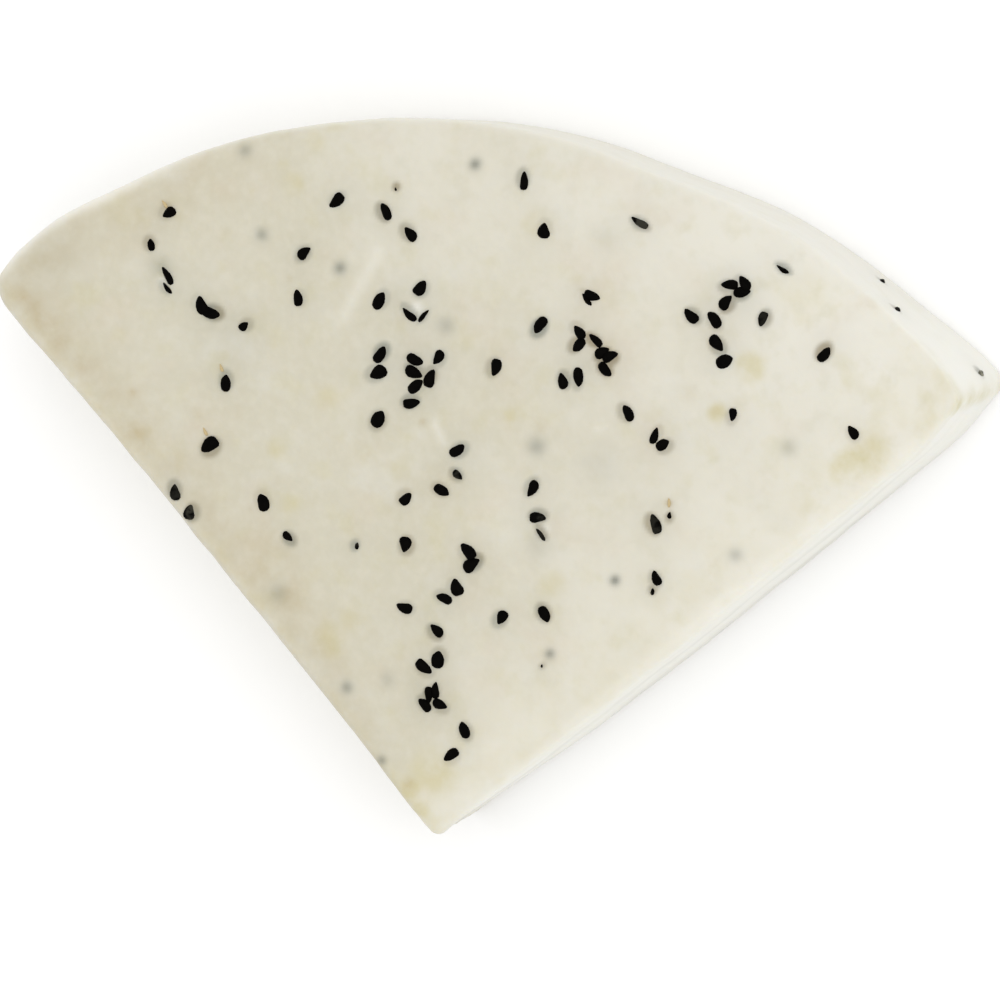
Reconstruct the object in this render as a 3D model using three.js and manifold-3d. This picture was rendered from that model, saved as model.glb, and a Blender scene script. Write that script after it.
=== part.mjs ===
// A quarter wheel of pale tulum cheese with nigella seeds mixed through the curd.
// Millimetres, +Z up. The plan is drawn with the tip of the wedge at (0, 0) and the rind towards +Y,
// and the finished wedge is then set down on Z = 0 with the middle of its box on the Z axis.
import * as THREE from "three";
import { mergeVertices } from "three/addons/utils/BufferGeometryUtils.js";
import Module from "manifold-3d";

// The wheel and the two knife cuts, which meet a little off the wheel's centre
const WHEEL_RADIUS = 109.4;
const WHEEL_CENTRE = new THREE.Vector2(-4, -4);
const THICKNESS = 28;
const RIGHT_CUT_ANGLE = THREE.MathUtils.degToRad(45.2);
const LEFT_CUT_ANGLE = THREE.MathUtils.degToRad(136.8);

// Softened corners and edges
const TIP_RADIUS = 1.2;
const RIGHT_CORNER_RADIUS = 2.2;
const LEFT_CORNER_RADIUS = 7;
const TOP_EDGE_RADIUS = 1.6;
const BASE_EDGE_RADIUS = 1.5;

// Where the rind is pressed flat and where it stands proud: angle about the wheel's centre, half width, rise
const RIND_SWELLS = [
  { angle: 0.82, spread: 0.1, rise: 1.6 },
  { angle: 1.33, spread: 0.12, rise: -1.1 },
  { angle: 1.77, spread: 0.2, rise: 0.4 },
  { angle: 2.11, spread: 0.08, rise: -0.75 },
  { angle: 2.29, spread: 0.07, rise: -1.5 },
];

// The left cut is slightly hollow. The right cut bellies out slightly and curls in at its rind end. Near the tip
// it tucks in towards the base, and the upper face rolls off towards it.
// Each fades away from the cut over its own reach.
const CUT_HOLLOW = { depth: 0.7, reach: 3 };
const CUT_BELLY = { depth: 0.6, reach: 1 };
const CUT_END_CURL = { depth: 1.3, length: 10, reach: 8 };
const TIP_TUCK = { depth: 1.3, length: 18, reach: 3 };
const TIP_ROLL = { drop: 2.2, width: 8, length: 26 };

// Along the upper right of the rind the face rolls off softly, round about an angle at the wheel's centre
const RIND_ROLL = { drop: 3, width: 11, angle: 1.36, spread: 0.42 };

// Near the right corner the walls lean in towards the upper face, and the corner itself is worn back further
const CORNER_LEAN = { depth: 1.6, reach: 20 };
const CORNER_WEAR = { depth: 2.6, reach: 6.5 };

// How fast the rind's swells fade inside the rim, and the upper face's relief down the walls
const RIND_FADE = 4;
const RELIEF_FADE_POWER = 4;

// Long shallow unevenness of the upper face
const FACE_WAVES = [
  { wavelength: 47, heading: 0.4, height: 0.16 },
  { wavelength: 31, heading: 1.9, height: 0.12 },
];

// Facets: steps along the outline, round an edge and across the faces
const OUTLINE_STEP = 4;
const ROUND_STEPS = 4;
const EDGE_STEPS = 4;
const FACE_RINGS = 6;
const WALL_RINGS = 2;

// A nigella seed is a small angular teardrop
const SEED_LENGTH = 2.8;
const SEED_WIDTH = 1.8;
const SEED_HEIGHT = 1.3;
const SEED_PROUD = 0.42;
const SEED_SIDES = 5;
const SEED_SIZE_SPREAD = 0.05;
const SEED_PLACE_SPREAD = 0.1;

// On the upper face the seeds lie in short strands: ends in the plan, number of seeds, and the turn of the
// first and the last seed's point from +Y in degrees. A narrow seed lies on its side, a sliver is on edge and
// sunk till only its ridge shows, a splinter is half of a split seed, and a fleck is a broken bit.
const LARGE = { size: 1.12 };
const FAT = { size: 1.1, width: 1.2 };
const LONG = { size: 1.12, width: 0.88 };
const ROUND = { width: 1.22 };
const SLIGHT = { size: 0.9 };
const SMALL = { size: 0.72 };
const STUBBY = { size: 0.88, width: 1.18 };
const CHIP = { size: 0.68, width: 1.25 };
const NARROW = { width: 0.78 };
const SLENDER = { size: 0.8, width: 0.78 };
const SPLINTER = { size: 1.2, width: 0.6, proud: 0.36 };
const SLIVER = { width: 0.5, proud: 0.3 };
const FLECK = { size: 0.4 };
const strand = (from, to, seeds, turns, looks = {}) => ({ from, to, seeds, turns, ...looks });
const single = (at, turn, looks = {}) => strand(at, at, 1, [turn, turn], looks);
const STRANDS = [
  single([-50.5, 87], 123, STUBBY),
  single([-52.7, 82], 17, SMALL),
  single([-50, 77.7], 37, SPLINTER),
  single([-49.8, 76], 44, SLIVER),
  strand([-44, 74], [-42.5, 73], 2, [26, -99], LARGE),
  single([-37.2, 71.8], -48, CHIP),
  single([-39, 63], 6),
  single([-40.5, 53.5], 134, FAT),
  single([-45, 46], 15),
  single([-42.3, 43.4], 0, STUBBY),
  single([-31.5, 46], 24, FAT),
  single([-27, 41.5], -126, SMALL),
  single([-16.3, 41.5], 0, FLECK),
  strand([-29.6, 76.8], [-29, 83.7], 2, [15, -41]),
  single([-25.2, 91.7], 141),
  single([-17.6, 91], 32, LONG),
  single([-13.7, 88.2], 43),
  single([-17, 78], -20, LARGE),
  single([-11, 80.7], -29, ROUND),
  single([-12.4, 76.5], 55, SPLINTER),
  single([-10, 76.7], -34, SLIVER),
  single([-16, 70.2], -26, LARGE),
  single([-16, 67.2], 120, FAT),
  single([-15, 60.7], -19, FAT),
  single([-9.6, 49.5], -37, STUBBY),
  single([-9, 42.5], 184, ROUND),
  single([-8.2, 33.5], 81),
  strand([-10.5, 70], [-10.5, 68], 2, [-106, -111], LARGE),
  single([-10, 66], -43, LARGE),
  single([-10.3, 63.5], -74),
  single([-7.4, 70.5], 157),
  single([-8, 67.5], -13, LARGE),
  single([-2.8, 57.6], -48),
  single([-2.2, 53.8], -128, SMALL),
  single([-4.5, 51.2], -112),
  strand([0.5, 43], [1.5, 41], 2, [50, -45], LARGE),
  single([-0.5, 37.5], 28, ROUND),
  single([-2.2, 35.5], 75),
  single([-2.9, 30.8], 51),
  single([-2, 26.6], 2, ROUND),
  single([-4, 25.1], -120, LARGE),
  strand([-2, 22], [-3, 21], 2, [6, 186], NARROW),
  strand([-3.5, 19.5], [-1, 20], 2, [51, -109]),
  strand([3, 16.8], [1.4, 12.7], 2, [28, 133]),
  single([9, 53.2], 160, LONG),
  single([10.5, 49], -83),
  single([11.1, 46.8], 45, SLIVER),
  single([6.8, 33.8], 153, STUBBY),
  single([13.1, 35.1], -146),
  single([2.5, 98], 6, NARROW),
  single([6.6, 91.2], 9, ROUND),
  single([1.5, 70.1], 173),
  single([7.5, 77.2], 151, LARGE),
  strand([13.5, 77], [13.5, 75], 2, [41, 145]),
  single([16, 76], 54, NARROW),
  strand([17.5, 74.5], [18.5, 74], 2, [-52, -61]),
  single([18, 72], -132),
  single([11.7, 69.6], 17),
  single([14.1, 70.3], 190, LONG),
  single([15, 82.4], -102),
  single([13.9, 81.9], 44, SLIVER),
  single([20.5, 94], 66, SPLINTER),
  single([22, 66], 34),
  single([26.5, 63.3], -14, NARROW),
  single([27.9, 62.1], -51, STUBBY),
  single([28, 50.6], 27, LONG),
  single([30, 52], 0, FLECK),
  single([29.1, 42.6], 28, SLIGHT),
  single([28.8, 40.6], 0, FLECK),
  strand([37, 87], [37, 85.5], 2, [37, -75]),
  strand([35, 86.5], [35, 84], 2, [95, -31]),
  single([29.9, 81.4], 53),
  single([33.2, 81.3], 44, LARGE),
  single([34.3, 77.7], -137, LARGE),
  single([35.6, 75.3], -58, FAT),
  single([40.4, 82.1], 168, SLIGHT),
  single([42.3, 89.7], 63, SLIVER),
  single([37.7, 67.7], 182, SMALL),
  single([50.1, 78.2], -33),
  single([55.4, 67.5], 39, SLIGHT),
];

// Slender seeds that stand upright in the rind near the right corner: angle about the wheel's centre and turn,
// both in degrees, and height
const RIND_SEEDS = [
  { angle: 58.2, height: 8, turn: 148 },
  { angle: 55.1, height: 19, turn: 145 },
  { angle: 47.1, height: 10, turn: 137 },
];

// Seeds scattered over the left cut and the left third of the rind, each in its own share of the length
const LEFT_CUT_SEEDS = 7;
const LEFT_RIND_SEEDS = 4;
const LEFT_RIND_START = THREE.MathUtils.degToRad(110);
const WALL_MARGIN = 9;
const WALL_LOW = 5;
const WALL_HIGH = THICKNESS - 6;

const CHEESE_COLOUR = "#e3ddcb";

const wasm = await Module();
wasm.setup();

// A linear congruential generator, so that every draw is the same on every run
let draw = 20;
function random() {
  draw = (1664525 * draw + 1013904223) % 4294967296;
  return draw / 4294967296;
}
const spread = (size) => (2 * random() - 1) * size;

const along = (angle, length = 1) =>
  new THREE.Vector2(Math.cos(angle), Math.sin(angle)).multiplyScalar(length);
const bell = (x, width) => Math.exp(-((x / width) ** 2));

// The centre of the rounding between a cut and the rim: one radius inside both of them
function rimCornerCentre(cutAngle, inwardAngle, radius) {
  const start = along(inwardAngle, radius).sub(WHEEL_CENTRE);
  const direction = along(cutAngle);
  const half = start.dot(direction);
  const reach = WHEEL_RADIUS - radius;
  const distance = -half + Math.sqrt(half ** 2 - start.lengthSq() + reach ** 2);
  return start.add(WHEEL_CENTRE).addScaledVector(direction, distance);
}

const quarterTurn = Math.PI / 2;
const rightInward = RIGHT_CUT_ANGLE + quarterTurn;
const leftInward = LEFT_CUT_ANGLE - quarterTurn;
const rightCorner = rimCornerCentre(RIGHT_CUT_ANGLE, rightInward, RIGHT_CORNER_RADIUS);
const leftCorner = rimCornerCentre(LEFT_CUT_ANGLE, leftInward, LEFT_CORNER_RADIUS);
const middleAngle = (RIGHT_CUT_ANGLE + LEFT_CUT_ANGLE) / 2;
const halfAngle = (LEFT_CUT_ANGLE - RIGHT_CUT_ANGLE) / 2;
const tipCentre = along(middleAngle, TIP_RADIUS / Math.sin(halfAngle));
const rimAngle = (corner) => corner.clone().sub(WHEEL_CENTRE).angle();

// The outline runs anticlockwise: the tip, the right cut, a corner, the rind, a corner, the left cut
function wedgeOutline() {
  const path = new THREE.Path();
  const arc = (centre, radius, from, to) => path.absarc(centre.x, centre.y, radius, from, to, false);
  arc(tipCentre, TIP_RADIUS, leftInward - Math.PI, rightInward - Math.PI + 2 * Math.PI);
  arc(rightCorner, RIGHT_CORNER_RADIUS, rightInward - Math.PI, rimAngle(rightCorner));
  arc(WHEEL_CENTRE, WHEEL_RADIUS, rimAngle(rightCorner), rimAngle(leftCorner));
  arc(leftCorner, LEFT_CORNER_RADIUS, rimAngle(leftCorner), leftInward + Math.PI);
  path.closePath();
  return path;
}

// How far a point near a cut is pushed where the cut swells or sinks most in the middle of its length
function cutBow(point, cutAngle, inward, length, { depth, reach }) {
  const share = THREE.MathUtils.clamp(point.dot(along(cutAngle)) / length, 0, 1);
  return depth * bell(point.dot(along(inward)), reach) * Math.sin(Math.PI * share);
}

// Pushes a point of the outline to the uneven line of the real rind and the two cuts
function unevenOutline(point) {
  const fromCentre = point.clone().sub(WHEEL_CENTRE);
  const rimShare = THREE.MathUtils.smoothstep(fromCentre.length(), WHEEL_RADIUS - RIND_FADE, WHEEL_RADIUS);
  const angle = fromCentre.angle();
  const rise = RIND_SWELLS.reduce((sum, s) => sum + s.rise * bell(angle - s.angle, s.spread), 0);
  const rind = fromCentre.setLength(rimShare * rise);
  const cutLength = rightCorner.length();
  const fromTip = THREE.MathUtils.clamp(point.dot(along(RIGHT_CUT_ANGLE)), 0, cutLength);
  const fromCut = point.dot(along(rightInward));
  const belly = -cutBow(point, RIGHT_CUT_ANGLE, rightInward, cutLength, CUT_BELLY);
  const hollow = cutBow(point, LEFT_CUT_ANGLE, leftInward, leftCorner.length(), CUT_HOLLOW);
  const intoCurl = Math.max(0, 1 - (cutLength - fromTip) / CUT_END_CURL.length);
  const curl = CUT_END_CURL.depth * intoCurl ** 2 * bell(fromCut, CUT_END_CURL.reach);
  const rightPush = along(rightInward, belly + curl);
  return point.clone().add(rind).add(rightPush).add(along(leftInward, hollow));
}

function outlinePoints() {
  const points = [];
  for (const curve of wedgeOutline().curves) {
    const steps = Math.max(ROUND_STEPS, Math.round(curve.getLength() / OUTLINE_STEP));
    points.push(...curve.getSpacedPoints(steps).slice(0, -1));
  }
  return points.map(unevenOutline);
}

// The point that is equally far from both cuts and the rind: every ring of facets shrinks towards it,
// so a ring's share of the full outline says how far it lies inside the walls
const inset = (WHEEL_RADIUS * Math.sin(halfAngle)) / (1 + Math.sin(halfAngle));
const heart = along(middleAngle, inset / Math.sin(halfAngle));

// Half of the wedge's section from the heart to the wall and back, as (share of outline, height) pairs
function section() {
  const points = [];
  const face = (share, height) => points.push(new THREE.Vector2(share, height));
  const topInner = 1 - TOP_EDGE_RADIUS / inset;
  const baseInner = 1 - BASE_EDGE_RADIUS / inset;
  face(0, 0);
  for (let i = 0; i <= EDGE_STEPS; i++) {
    const turn = (quarterTurn * i) / EDGE_STEPS;
    const share = baseInner + ((1 - baseInner) * Math.sin(turn));
    face(share, BASE_EDGE_RADIUS * (1 - Math.cos(turn)));
  }
  const wallLow = BASE_EDGE_RADIUS;
  const wallHigh = THICKNESS - TOP_EDGE_RADIUS;
  for (let i = 1; i < WALL_RINGS; i++) {
    face(1, THREE.MathUtils.lerp(wallLow, wallHigh, i / WALL_RINGS));
  }
  for (let i = 0; i <= EDGE_STEPS; i++) {
    const turn = (quarterTurn * i) / EDGE_STEPS;
    const share = topInner + ((1 - topInner) * Math.cos(turn));
    face(share, wallHigh + TOP_EDGE_RADIUS * Math.sin(turn));
  }
  for (let i = FACE_RINGS - 1; i >= 0; i--) {
    face((topInner * i) / FACE_RINGS, THICKNESS);
  }
  return points;
}

// How far the face rolls off, from nothing at the roll's width inside the edge to its full drop at the edge
const rolledOff = (fromEdge, { drop, width }) => drop * Math.max(0, 1 - fromEdge / width) ** 2;

// How far the upper face stands above or below its level at a point of the plan
function faceRelief(point) {
  const waves = FACE_WAVES.reduce((sum, wave) => {
    const phase = (2 * Math.PI * point.dot(along(wave.heading))) / wave.wavelength;
    return sum + wave.height * Math.sin(phase);
  }, 0);
  const fromCut = point.dot(along(rightInward));
  const fromTip = point.dot(along(RIGHT_CUT_ANGLE));
  const tipRoll = rolledOff(fromCut, TIP_ROLL) * bell(fromTip, TIP_ROLL.length);
  const fromRim = WHEEL_RADIUS - point.distanceTo(WHEEL_CENTRE);
  const rindRoll = rolledOff(fromRim, RIND_ROLL) * bell(rimAngle(point) - RIND_ROLL.angle, RIND_ROLL.spread);
  return waves - tipRoll - rindRoll;
}

// How far the foot of the right cut lies inside its upper edge
function tipTuck(point) {
  const fromCut = point.dot(along(rightInward));
  const fromTip = point.dot(along(RIGHT_CUT_ANGLE));
  return TIP_TUCK.depth * bell(fromCut, TIP_TUCK.reach) * bell(fromTip, TIP_TUCK.length);
}

// Moves a point at a level between base and upper face as the walls lean there
function lean(point, level) {
  const inward = WHEEL_CENTRE.clone().sub(point).normalize();
  const fromCorner = point.distanceTo(rightCorner);
  const depths = [CORNER_LEAN, CORNER_WEAR].map(({ depth, reach }) => depth * bell(fromCorner, reach));
  point.addScaledVector(inward, level * (depths[0] + depths[1]));
  return point.addScaledVector(along(rightInward), (1 - level) * tipTuck(point));
}

// A turned section whose rings are drawn out from circles to the wedge's outline
function wedgeBody() {
  const profile = section();
  const outline = outlinePoints();
  const geometry = new THREE.LatheGeometry(profile, outline.length);
  const position = geometry.getAttribute("position");
  for (let i = 0; i < position.count; i++) {
    const { x: share, y: height } = profile[i % profile.length];
    const edge = outline[Math.floor(i / profile.length) % outline.length];
    const level = height / THICKNESS;
    const point = lean(heart.clone().lerp(edge, share), level);
    position.setXYZ(i, point.x, point.y, height + level ** RELIEF_FADE_POWER * faceRelief(point));
  }
  return geometry;
}

// One seed about the origin, its point along +Y
function seedGeometry() {
  const outline = [
    [0, -0.5],
    [0.42, -0.36],
    [0.5, -0.05],
    [0.34, 0.3],
    [0, 0.5],
  ].map(([radius, height]) => new THREE.Vector2(radius * SEED_WIDTH, height * SEED_LENGTH));
  return new THREE.LatheGeometry(outline, SEED_SIDES).scale(1, 1, SEED_HEIGHT / SEED_WIDTH);
}

// A seed pressed into a surface: at a point, with the surface's outward normal, turned about that normal
function placedSeed(point, normal, turn, { size: scale = 1, width = 1, proud = SEED_PROUD } = {}) {
  const size = scale * (1 + spread(SEED_SIZE_SPREAD));
  const upright = new THREE.Quaternion().setFromUnitVectors(new THREE.Vector3(0, 0, 1), normal);
  const turned = new THREE.Quaternion().setFromAxisAngle(new THREE.Vector3(0, 0, 1), turn);
  const sunk = point.clone().addScaledVector(normal, size * (proud - SEED_HEIGHT / 2));
  const place = new THREE.Matrix4().compose(
    sunk,
    upright.multiply(turned),
    new THREE.Vector3(size * width, size, size),
  );
  return seedGeometry().applyMatrix4(place);
}

function strandSeeds({ from, to, seeds, turns, ...looks }) {
  const start = new THREE.Vector2(...from);
  const end = new THREE.Vector2(...to);
  return Array.from({ length: seeds }, (_, i) => {
    const share = seeds > 1 ? i / (seeds - 1) : 0;
    const place = start.clone().lerp(end, share);
    place.add(new THREE.Vector2(spread(SEED_PLACE_SPREAD), spread(SEED_PLACE_SPREAD)));
    const point = new THREE.Vector3(place.x, place.y, THICKNESS + faceRelief(place));
    const turn = THREE.MathUtils.degToRad(THREE.MathUtils.lerp(...turns, share));
    return placedSeed(point, new THREE.Vector3(0, 0, 1), turn, looks);
  });
}

// A seed in a wall, at a point of the plan's outline and a height, with the wall's outward angle
function wallSeed(point, outward, height, turn, looks) {
  const place = lean(unevenOutline(point), height / THICKNESS);
  const normal = along(outward);
  return placedSeed(
    new THREE.Vector3(place.x, place.y, height),
    new THREE.Vector3(normal.x, normal.y, 0),
    turn,
    looks,
  );
}

const onRind = (angle) => WHEEL_CENTRE.clone().add(along(angle, WHEEL_RADIUS));

// Seeds scattered along a wall, from a function that makes one at a share of its length, a height and a turn
function scatteredSeeds(count, seedAt) {
  return Array.from({ length: count }, (_, i) => {
    const share = (i + 0.5 + spread(0.35)) / count;
    const height = THREE.MathUtils.lerp(WALL_LOW, WALL_HIGH, random());
    return seedAt(share, height, spread(Math.PI));
  });
}

function leftCutSeeds() {
  const length = leftCorner.length();
  return scatteredSeeds(LEFT_CUT_SEEDS, (share, height, turn) => {
    const point = along(LEFT_CUT_ANGLE, THREE.MathUtils.lerp(WALL_MARGIN, length - WALL_MARGIN, share));
    return wallSeed(point, leftInward + Math.PI, height, turn);
  });
}

function leftRindSeeds() {
  const end = rimAngle(leftCorner) - WALL_MARGIN / WHEEL_RADIUS;
  return scatteredSeeds(LEFT_RIND_SEEDS, (share, height, turn) => {
    const angle = THREE.MathUtils.lerp(LEFT_RIND_START, end, share);
    return wallSeed(onRind(angle), angle, height, turn);
  });
}

function rightRindSeeds() {
  return RIND_SEEDS.map(({ angle, height, turn }) => {
    const outward = THREE.MathUtils.degToRad(angle);
    return wallSeed(onRind(outward), outward, height, THREE.MathUtils.degToRad(turn), SLENDER);
  });
}

function allSeeds() {
  return [...STRANDS.flatMap(strandSeeds), ...rightRindSeeds(), ...leftCutSeeds(), ...leftRindSeeds()];
}

function toSolid(geometry) {
  const bare = geometry.clone();
  bare.deleteAttribute("normal");
  bare.deleteAttribute("uv");
  const merged = mergeVertices(bare, 1e-4);
  return new wasm.Manifold(
    new wasm.Mesh({
      numProp: 3,
      vertProperties: merged.getAttribute("position").array,
      triVerts: new Uint32Array(merged.index.array),
    }),
  );
}

function toGeometry(solid) {
  const mesh = solid.getMesh();
  const geometry = new THREE.BufferGeometry();
  geometry.setAttribute("position", new THREE.BufferAttribute(mesh.vertProperties, mesh.numProp));
  geometry.setIndex(new THREE.BufferAttribute(mesh.triVerts, 1));
  geometry.computeVertexNormals();
  return geometry;
}

// The seeds are held in the curd, so wedge and seeds are one solid
function seededWedge() {
  const solid = allSeeds().reduce((joined, seed) => joined.add(toSolid(seed)), toSolid(wedgeBody()));
  const geometry = toGeometry(solid);
  geometry.computeBoundingBox();
  const { min, max } = geometry.boundingBox;
  return geometry.translate(-(min.x + max.x) / 2, -(min.y + max.y) / 2, -min.z);
}

const cheese = new THREE.MeshStandardMaterial({ color: CHEESE_COLOUR, roughness: 0.55, metalness: 0 });
const wedge = new THREE.Mesh(seededWedge(), cheese);
wedge.name = "cheese_wedge";

const part = new THREE.Group();
part.add(wedge);

export default part;
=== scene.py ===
"""The looks of a quarter wheel of pale tulum cheese with nigella seeds mixed through the curd.

Sizes are in millimetres until MM takes them to metres. The plan is drawn as in the solid: the tip of the
wedge at (0, 0), the rind towards +Y. Plan points are complex numbers, x + iy, so that a turn is one
multiplication.
"""
import math

import bmesh
import bpy
import numpy as np
from mathutils import Matrix, Vector
from mathutils.bvhtree import BVHTree
from mathutils.kdtree import KDTree


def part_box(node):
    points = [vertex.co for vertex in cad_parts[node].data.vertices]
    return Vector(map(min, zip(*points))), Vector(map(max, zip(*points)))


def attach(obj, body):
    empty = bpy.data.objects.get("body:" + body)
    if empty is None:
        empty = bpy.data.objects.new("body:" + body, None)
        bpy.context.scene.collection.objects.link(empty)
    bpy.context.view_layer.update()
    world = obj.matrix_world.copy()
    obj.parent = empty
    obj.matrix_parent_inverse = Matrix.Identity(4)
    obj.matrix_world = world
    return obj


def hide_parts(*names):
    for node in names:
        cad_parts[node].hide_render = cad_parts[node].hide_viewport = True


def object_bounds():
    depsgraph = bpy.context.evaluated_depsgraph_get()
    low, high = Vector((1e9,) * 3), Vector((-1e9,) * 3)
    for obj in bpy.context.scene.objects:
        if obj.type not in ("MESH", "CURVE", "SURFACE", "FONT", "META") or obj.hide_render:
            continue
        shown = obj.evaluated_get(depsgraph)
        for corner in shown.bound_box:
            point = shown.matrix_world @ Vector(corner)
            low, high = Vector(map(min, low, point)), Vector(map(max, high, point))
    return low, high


MM = 0.001

# The wheel and the two knife cuts
WHEEL_RADIUS = 109.4
WHEEL_CENTRE = complex(-4, -4)
THICKNESS = 28
RIGHT_CUT = math.radians(45.2)
LEFT_CUT = math.radians(136.8)
RIGHT_INWARD = RIGHT_CUT + math.pi / 2
LEFT_INWARD = LEFT_CUT - math.pi / 2

# Softened corners and edges
TIP_RADIUS = 1.2
RIGHT_CORNER_RADIUS = 2.2
LEFT_CORNER_RADIUS = 7
TOP_EDGE_RADIUS = 1.6
BASE_EDGE_RADIUS = 1.5
EDGE_STEPS = 6

# Swells of the rind: angle about the wheel's centre, half width, rise
RIND_SWELLS = [
    (0.82, 0.1, 1.6), (1.33, 0.12, -1.1), (1.77, 0.2, 0.4), (2.11, 0.08, -0.75), (2.29, 0.07, -1.5),
]
RIND_FADE = 4

# The left cut's hollow, and the right cut's belly, the curl at its rind end, its tuck at the tip, and the
# face's roll towards it there
HOLLOW_DEPTH, HOLLOW_REACH = 0.7, 3
BELLY_DEPTH, BELLY_REACH = 0.6, 1
CURL_DEPTH, CURL_LENGTH, CURL_REACH = 1.3, 10, 8
TUCK_DEPTH, TUCK_LENGTH, TUCK_REACH = 1.3, 18, 3
ROLL_DROP, ROLL_LENGTH, ROLL_WIDTH = 2.2, 26, 8

# Along the upper right of the rind the face rolls off softly, round about an angle at the wheel's centre
RIND_ROLL_DROP, RIND_ROLL_WIDTH, RIND_ROLL_ANGLE, RIND_ROLL_SPREAD = 3, 11, 1.36, 0.42

# Near the right corner the walls lean in towards the upper face, and the corner itself is worn back further
CORNER_LEAN, CORNER_REACH = 1.6, 20
CORNER_WEAR, CORNER_WEAR_REACH = 2.6, 6.5

# Long shallow waves of the upper face: wavelength, heading, height
FACE_WAVES = [(47, 0.4, 0.16), (31, 1.9, 0.12)]
RELIEF_FADE_POWER = 4

# Mesh of the curd: voxel size before the upper face is split once more
VOXEL = 0.8
SMOOTHING_ROUNDS = 4

# Unevenness of the curd: size of the lumps and how far they stand out
LUMPS = [(14, 0.3), (4.5, 0.1)]

# The knife's drag lines on the cuts: distance between lines and depth, and how much they rise along the cut
KNIFE_LINES = [(2.9, 0.05), (4.7, 0.06)]
KNIFE_SLANT = 0.06
# How squarely a point faces out of a cut where the lines start and where they are full
KNIFE_FACING = 0.8, 0.98

# Shallow creases in the upper face: ends in the plan, width and depth
CREASES = [
    ((-18, 85), (-22, 75), 1.1, 0.18),
    ((-6.5, 61), (-5, 58.5), 0.7, 0.2),
    ((17.5, 63), (19, 63.5), 0.4, 0.15),
]

# A nigella seed is a small angular teardrop
SEED_LENGTH = 2.8
SEED_WIDTH = 1.8
SEED_HEIGHT = 1.3
SEED_PROUD = 0.42
SEED_SEGMENTS = 12
SEED_RINGS = 8
SEED_SIZE_SPREAD = 0.05
SEED_PLACE_SPREAD = 0.1
SEED_RIDGE = 0.08
SEED_DENT = 0.05

# Seeds along their length: stations as shares of the length, and half widths there as shares of the width
SEED_STATIONS = (-0.5, -0.46, -0.35, -0.19, 0, 0.19, 0.35, 0.46, 0.5)
TEARDROP = (0, 0.3, 0.45, 0.5, 0.45, 0.35, 0.22, 0.1, 0)
OVAL = (0, 0.28, 0.43, 0.49, 0.48, 0.41, 0.28, 0.13, 0)
CLUB = (0, 0.36, 0.47, 0.5, 0.46, 0.38, 0.28, 0.15, 0)

# The modelled seeds: profile, number of ridges, turn of the ridges and sideways bend
SEED_KINDS = [
    (TEARDROP, 3, 0.6, 0.04), (OVAL, 4, 0.2, -0.05), (CLUB, 3, 2.4, 0.05),
    (TEARDROP, 4, 1.1, -0.06), (CLUB, 4, 0.9, -0.04), (OVAL, 3, 1.9, 0.06),
]

# Starts of the random draws: for the seeds' places and sizes, and for the shade round them
SEED_DRAWS = 20
SHADE_DRAWS = 7


def strand(start, end, seeds, turns, **looks):
    """A short row of seeds between two places."""
    return complex(*start), complex(*end), seeds, turns, looks


def single(at, turn, **looks):
    """A seed by itself."""
    return strand(at, at, 1, (turn, turn), **looks)


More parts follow.
